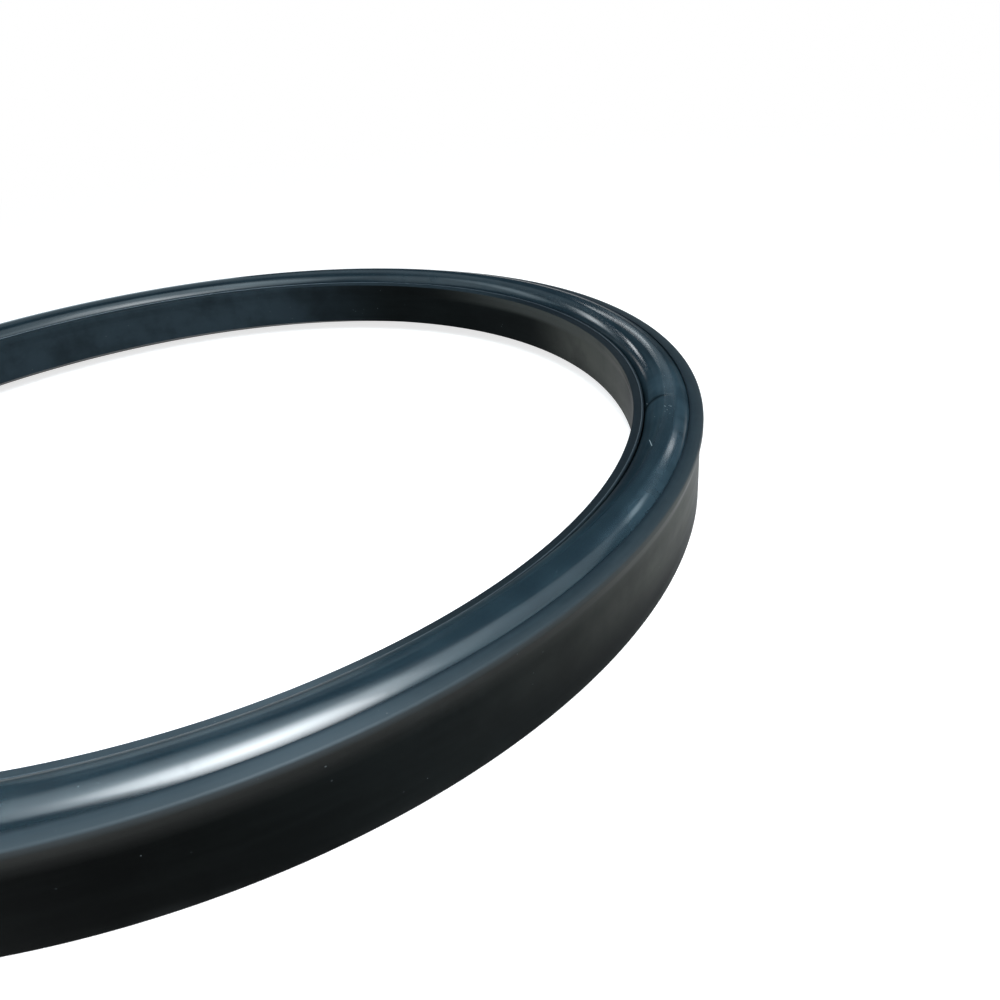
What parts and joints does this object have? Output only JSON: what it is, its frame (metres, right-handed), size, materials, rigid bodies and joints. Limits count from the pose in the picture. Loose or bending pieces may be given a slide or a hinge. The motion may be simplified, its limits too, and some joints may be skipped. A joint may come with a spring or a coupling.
{
  "type": "rod seal",
  "caption": "Large round rod seal: a two-lipped rubber ring whose groove holds a round cord that spreads the lips.",
  "frame": {"origin": "centre of the ring on the plane of its heel face, which it rests on", "axes": "+Z along the ring's axis, from the heel up to the lips; +X towards the splice of the energiser cord"},
  "size_m": [0.3612, 0.3612, 0.029],
  "materials": {
    "seal_rubber": "matt",
    "cord_rubber": "satin"
  },
  "bodies": {
    "root": {"seal_body": "seal_rubber", "energiser_ring": "cord_rubber"}
  },
  "joints": []
}
